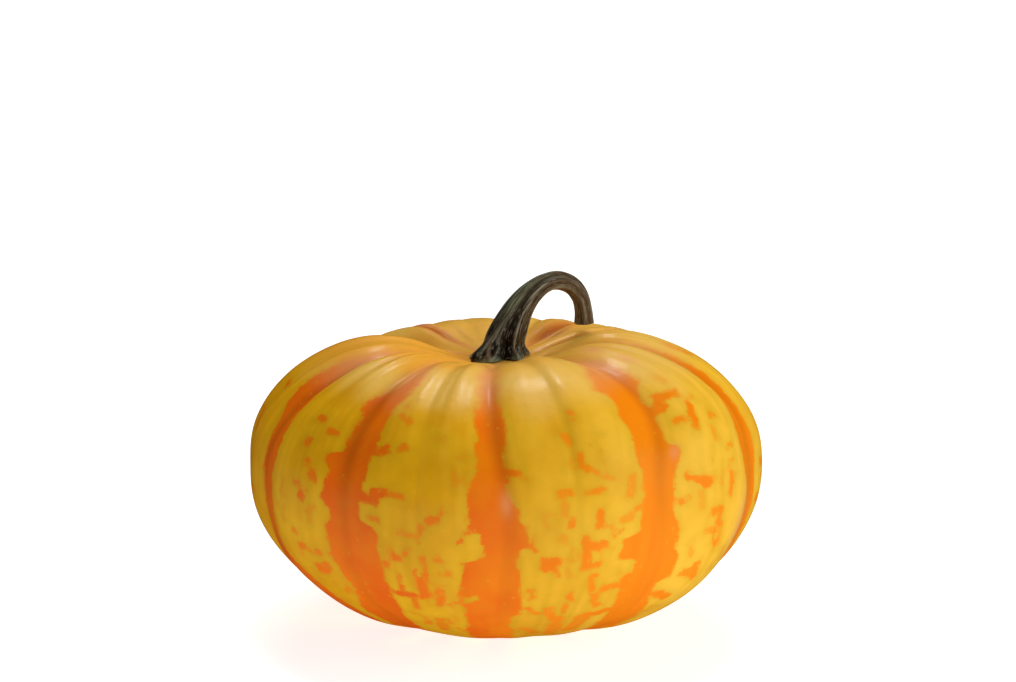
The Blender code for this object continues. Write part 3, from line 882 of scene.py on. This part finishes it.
def station(progress):
    """Reach, height and radius of the stem at shares of its length, on a smooth curve."""
    last = len(STEM_STATIONS) - 1
    position = np.clip(progress, 0.0, 1.0) * last
    index = np.minimum(position.astype(int), last - 1)
    share = (position - index)[:, None]
    rows = np.array(STEM_STATIONS)
    before, here, there, after = (rows[np.clip(index + step, 0, last)] for step in (-1, 0, 1, 2))
    slope_here, slope_there = (there - before) / 2.0, (after - here) / 2.0
    cubed = 2.0 * (here - there) + slope_here + slope_there
    squared = 3.0 * (there - here) - 2.0 * slope_here - slope_there
    return (((cubed * share + squared) * share + slope_here) * share + here).T


# A globe is drawn out along the middle line: its rings are the stations, its top the cut end
stem_seat = np.array(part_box("stem")[0])[2]
bpy.ops.mesh.primitive_uv_sphere_add(
    segments=STEM_SEGMENTS, ring_count=STEM_RINGS, radius=0.01, location=(0.0, 0.0, stem_seat)
)
stem = bpy.context.object
stem.name = "pumpkin_stem"
cut_finer(STEM_CUTS)
x, y, z = directions(stem)
angle = np.arctan2(y, x)
ring = np.arccos(np.clip(z, -1.0, 1.0)) / np.pi * STEM_RINGS
progress = np.clip(1.0 - (ring - END_RINGS) / (STEM_RINGS - 1 - END_RINGS), 0.0, 1.0)
fill = np.clip(ring / END_RINGS, 0.0, 1.0) * np.clip(STEM_RINGS - ring, 0.0, 1.0)
reach, height, radius = station(progress)
before, after = station(progress - 0.01), station(progress + 0.01)
lean = np.arctan2(after[0] - before[0], after[1] - before[1]) * smooth_step(*LEAN_STARTS, progress)

# Ridges, valleys and strands
depth = RIDGE_DEPTH_FOOT + (RIDGE_DEPTH_TIP - RIDGE_DEPTH_FOOT) * progress
turned = (angle - np.radians(GROOVE_START - RIDGE_TWIST * progress)) * STEM_RIDGES / (2.0 * np.pi)
valley = 1.0 - np.abs(np.sin(np.pi * turned))
share = np.array(GROOVE_SHARES)[np.round(turned).astype(int) % STEM_RIDGES]
strand = np.zeros(len(angle))
draw = np.random.default_rng(STRAND_SEED)
for count in STRANDS:
    drift = draw.uniform(0.0, 2.0 * np.pi) + 2.5 * np.sin(progress * draw.uniform(4.0, 9.0))
    strand += np.cos(count * turned * 2.0 * np.pi / STEM_RIDGES + drift) / math.sqrt(len(STRANDS))

# The foot follows the skin of the hollow, and its long toe lies down on it
near_foot = 1.0 - smooth_step(*FOOT_ENDS, progress)
heading = math.radians(HOOK_AZIMUTH)
away = (angle + heading - math.radians(LONG_TOE_AZIMUTH) + np.pi) % (2.0 * np.pi) - np.pi
flare = near_foot * TOE_REACH * (1.0 - valley) ** 2
waist = WAIST * np.exp(-((progress - WAIST_PROGRESS) / WAIST_HALF_LENGTH) ** 2)
flare -= TUCK * (1.0 - smooth_step(*TUCK_ENDS, progress)) + waist
radius = radius * (1.0 + RIDGE_STAND * depth - depth * share * valley + STRAND_DEPTH * strand + flare)
toe_height, toe_radius = np.array(LONG_TOE).T
longer = np.interp(height, toe_height, toe_radius) * (1.0 + STRAND_DEPTH * strand) - radius
toe_share = np.exp(-(away / LONG_TOE_WIDTH) ** 2) * (1.0 - smooth_step(*LONG_TOE_ENDS, progress))
radius = radius + np.maximum(longer, 0.0) * toe_share
rise = np.interp(radius, step_radius[:HOLLOW_STEPS], step_height[:HOLLOW_STEPS]) - step_height[0]
height = height + (rise - LONG_TOE_SINK * toe_share * smooth_step(*SINK_STARTS, radius)) * near_foot
cut = np.clip(1.0 - ring / END_RINGS, 0.0, 1.0)
height = height + PITH_DEPTH * smooth_step(*PITH_EDGE, cut)
radius = radius * fill
out, side = radius * np.cos(angle), radius * np.sin(angle)
reach = reach + out * np.cos(lean)
height = height - out * np.sin(lean)
points = np.stack(
    [
        reach * math.sin(heading) + side * math.cos(heading),
        side * math.sin(heading) - reach * math.cos(heading),
        stem_seat + height,
    ],
    -1,
)
points[:, :2] += skin[arc.argmin(), :2]
stem.location = (0.0, 0.0, 0.0)
stem.data.vertices.foreach_set("co", points.ravel())
stem.data.update()
bpy.ops.object.shade_smooth()

# A grey-green sheen is painted on the outer side of the bend, as a highlight. The fibres run in
# millimetres, on a stalk of this mean radius and length
BEND_SHEEN_TURN = 0.25
BEND_SHEEN_EDGE = (0.0, 0.9)
BEND_SHEEN_STARTS = (0.26, 0.42)
BEND_SHEEN_ENDS = (0.50, 0.68)
FIBRE_RADIUS = 3.2
FIBRE_LENGTH = 60.0
bend_sheen = smooth_step(*BEND_SHEEN_EDGE, -np.cos(angle + BEND_SHEEN_TURN)) * smooth_step(*BEND_SHEEN_STARTS, progress)
bend_sheen = bend_sheen * (1.0 - smooth_step(*BEND_SHEEN_ENDS, progress))
stalk_marks = {
    "along": progress,
    "ridge": 1.0 - np.minimum(share * valley, 1.0),
    "strand": strand,
    "toe_sheen": near_foot * (1.0 - valley),
    "bend_sheen": bend_sheen,
    "cut": cut,
}
fibre_run = [np.cos(angle) * FIBRE_RADIUS, np.sin(angle) * FIBRE_RADIUS, progress * FIBRE_LENGTH]
keep(stem, **stalk_marks, fibre=np.stack(fibre_run, -1))

# Dry squash stalk. The green skin dried to a dark, leathery bark stretched over woody ridges,
# nearly black at the foot and browner towards the cut, with fine fibres along it.
BARK_BLACK = "#120d08"
BARK_BROWN = "#45301a"
BARK_GREY = "#8f8b76"
SHEEN_GREEN = "#7a8468"
STRAW = "#9c8460"
PITH = "#a89568"

# Fibres in a millimetre, across and along: bundles under the bark, 0.45 mm wide and 8 mm long,
# and scratches on it, 0.2 mm wide and 2 mm long
BUNDLES_PER_MM = (2.2, 0.12)
SCRATCHES_PER_MM = (5.0, 0.5)
bark = bpy.data.materials.new("dry_squash_stalk")
bark.use_nodes = True
tree = bark.node_tree
shader = tree.nodes["Principled BSDF"]
marks = {
    name: add_node(tree, "ShaderNodeAttribute", attribute_name=name).outputs["Fac"]
    for name in stalk_marks
}
fibre = add_node(tree, "ShaderNodeAttribute", attribute_name="fibre").outputs["Vector"]
for mark, (across, along), detail in (("bundle", BUNDLES_PER_MM, 4.0), ("scratch", SCRATCHES_PER_MM, 3.0)):
    run = add_node(tree, "ShaderNodeMapping", {"Vector": fibre, "Scale": (across, across, along)})
    grain = {"Vector": run.outputs[0], "Scale": 1.0, "Detail": detail}
    marks[mark] = add_node(tree, "ShaderNodeTexNoise", grain).outputs["Fac"]
streak = add_node(
    tree, "ShaderNodeMapRange", {"Value": marks["bundle"], "From Min": 0.45, "From Max": 0.66}
).outputs[0]
ridged = add_node(tree, "ShaderNodeMath", {0: marks["ridge"], 1: 4.0}, operation="POWER")
wear_and_sheen = add_node(tree, "ShaderNodeMath", {0: ridged.outputs[0], 1: streak}, operation="MULTIPLY")
sheen_streaks = add_node(tree, "ShaderNodeMath", {0: streak, 1: 0.7, 2: 0.2}, operation="MULTIPLY_ADD")
streaked_bend_sheen = add_node(tree, "ShaderNodeMath", {0: sheen_streaks.outputs[0], 1: marks["bend_sheen"]}, operation="MULTIPLY")
marks["wear_and_sheen"] = wear_and_sheen.outputs[0]
marks["streaked_bend_sheen"] = streaked_bend_sheen.outputs[0]

# Coats over the black, with rows as on the rind
barked = colour(BARK_BLACK)
for mark, start, full, most, code in (
    ("along", 0.25, 0.75, 1.0, BARK_BROWN),
    # grey on the ridge tops: partly wear, partly painted sheen
    ("wear_and_sheen", 0.0, 0.7, 0.75, BARK_GREY),
    ("strand", 0.6, 1.9, 0.45, STRAW),
    ("scratch", 0.54, 0.68, 0.60, BARK_GREY),
    # painted sheen on the outer side of the bend
    ("streaked_bend_sheen", 0.0, 1.0, 1.0, SHEEN_GREEN),
    # painted sheen on the toes
    ("toe_sheen", 0.45, 1.0, 0.6, SHEEN_GREEN),
    ("cut", 0.15, 0.45, 1.0, PITH),
):
    reach = {"Value": marks[mark], "From Min": start, "From Max": full, "To Max": most}
    share = add_node(tree, "ShaderNodeMapRange", reach).outputs[0]
    coat = {0: share, 6: barked, 7: colour(code)}
    barked = add_node(tree, "ShaderNodeMix", coat, data_type="RGBA").outputs[2]
tree.links.new(barked, shader.inputs["Base Color"])
shader.inputs["Roughness"].default_value = 0.33
bump = add_node(tree, "ShaderNodeBump", {"Height": marks["bundle"], "Strength": 0.6, "Distance": 0.0003})
tree.links.new(bump.outputs[0], shader.inputs["Normal"])
stem.data.materials.append(bark)
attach(stem, "root")
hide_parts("stem")

# Stage. A matt white board that glows a little, like a light table, so it stays plain and almost
# white round the fruit. Broad soft lamps stand behind, above and at the right with a weak one in
# front, and only a small window lamp behind is mirrored in the wax, as the glint on the lobes.
bpy.ops.mesh.primitive_plane_add(size=12.0, location=(0.0, 3.0, 0.0))
floor = bpy.context.object
floor.name = "table_top"
table = bpy.data.materials.new("matt_white_board")
table.use_nodes = True
board = table.node_tree.nodes["Principled BSDF"].inputs
board["Base Color"].default_value = colour("#b8b8b8")
board["Emission Color"].default_value = colour("#ffffff")
board["Emission Strength"].default_value = 0.80
board["Roughness"].default_value = 0.9
floor.data.materials.append(table)
floor.visible_glossy = False

studio = bpy.data.worlds.new("studio")
studio.use_nodes = True
walls = studio.node_tree.nodes["Background"].inputs
walls["Color"].default_value = (1.0, 1.0, 1.0, 1.0)
walls["Strength"].default_value = 0.13
studio.cycles_visibility.glossy = False
bpy.context.scene.world = studio

# Far lamps: azimuth and elevation, power, how wide each looks from the fruit, tint, and whether
# the wax mirrors it. Angles are in degrees
for name, azimuth, elevation, power, wide, tint, mirrored in (
    ("back_window", 179.0, 57.0, 0.24, 7.0, "#ffffff", True),
    ("overhead_lamp", 175.0, 80.0, 0.45, 9.0, "#ffffff", False),
    ("back_softbox", 182.0, 48.0, 1.75, 36.0, "#fff4e6", False),
    ("front_fill", 5.0, 8.0, 0.45, 50.0, "#ffffff", False),
    ("right_softbox", 72.0, 20.0, 1.90, 50.0, "#ffffff", False),
):
    turn, climb = math.radians(azimuth), math.radians(elevation)
    towards = Vector((math.sin(turn) * math.cos(climb), -math.cos(turn) * math.cos(climb), math.sin(climb)))
    bpy.ops.object.light_add(type="SUN", location=towards)
    lamp = bpy.context.object
    lamp.name = name
    lamp.data.energy = power
    lamp.data.angle = math.radians(wide)
    lamp.data.color = colour(tint)[:3]
    lamp.rotation_euler = (-towards).to_track_quat("-Z", "Y").to_euler()
    lamp.visible_glossy = mirrored

# The camera looks down a little, and turns two pixels aside at the lens's length in pixels
CAMERA_PLACE = (0.0, -0.68347, 0.22844)
CAMERA_DIP = 12.124
CAMERA_TURN = -2.0 / 2398.9
bpy.ops.object.camera_add()
camera = bpy.context.object
camera.data.lens = 85.0
camera.data.sensor_width = 36.0
camera.location = CAMERA_PLACE
camera.rotation_euler = (math.pi / 2.0 - math.radians(CAMERA_DIP), 0.0, math.atan(CAMERA_TURN))
bpy.context.scene.camera = camera
bpy.context.scene.view_settings.view_transform = "Standard"
